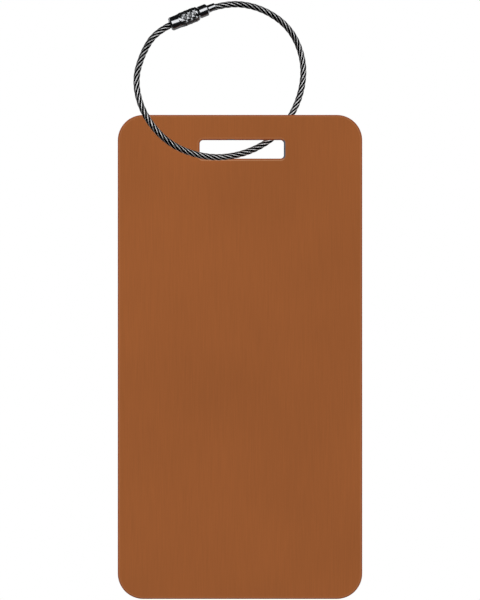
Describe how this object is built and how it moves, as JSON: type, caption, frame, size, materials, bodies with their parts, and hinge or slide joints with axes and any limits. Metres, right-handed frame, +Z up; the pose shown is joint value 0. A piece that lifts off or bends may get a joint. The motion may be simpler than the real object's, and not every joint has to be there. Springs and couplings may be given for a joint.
{
  "type": "luggage tag",
  "caption": "Flat rounded metal luggage tag with a slot near its top, hung on a wire rope loop that a knurled screw clasp closes.",
  "frame": {"origin": "the hang point: the inside of the loop's top, where the loop bears on a bag's handle; the plate's mid-plane is the plane Y = 0 and its centreline is X = 0", "axes": "+Z up along the hanging tag, +X to the right seen from the front, +Y to the back through the plate; the front face looks along -Y"},
  "size_m": [0.07, 0.0206, 0.1711],
  "materials": {
    "brushed_copper_plate": "copper-brown anodised, brushed lengthwise, satin",
    "steel_wire_rope": "bright drawn wire, laid in six strands",
    "polished_steel": "bright turned",
    "knurled_steel": "bright turned with a diamond knurl"
  },
  "bodies": {
    "loop": {"cable_loop": "steel_wire_rope", "threaded_ferrule": "polished_steel", "stop_ferrule": "polished_steel"},
    "plate": {"tag_plate": "brushed_copper_plate"},
    "sleeve": {"screw_sleeve": "knurled_steel"}
  },
  "joints": [
    {"name": "plate_swing", "type": "hinge", "parent": "loop", "child": "plate", "pos_m": [0, 0, -0.038], "axis": [1, 0, 0], "range_deg": [-10, 100]},
    {"name": "sleeve_turn", "type": "hinge", "parent": "loop", "child": "sleeve", "pos_m": [-0.0144, -0.0032, -0.0032], "axis": [0.917, 0.0802, 0.3907], "continuous": true}
  ]
}
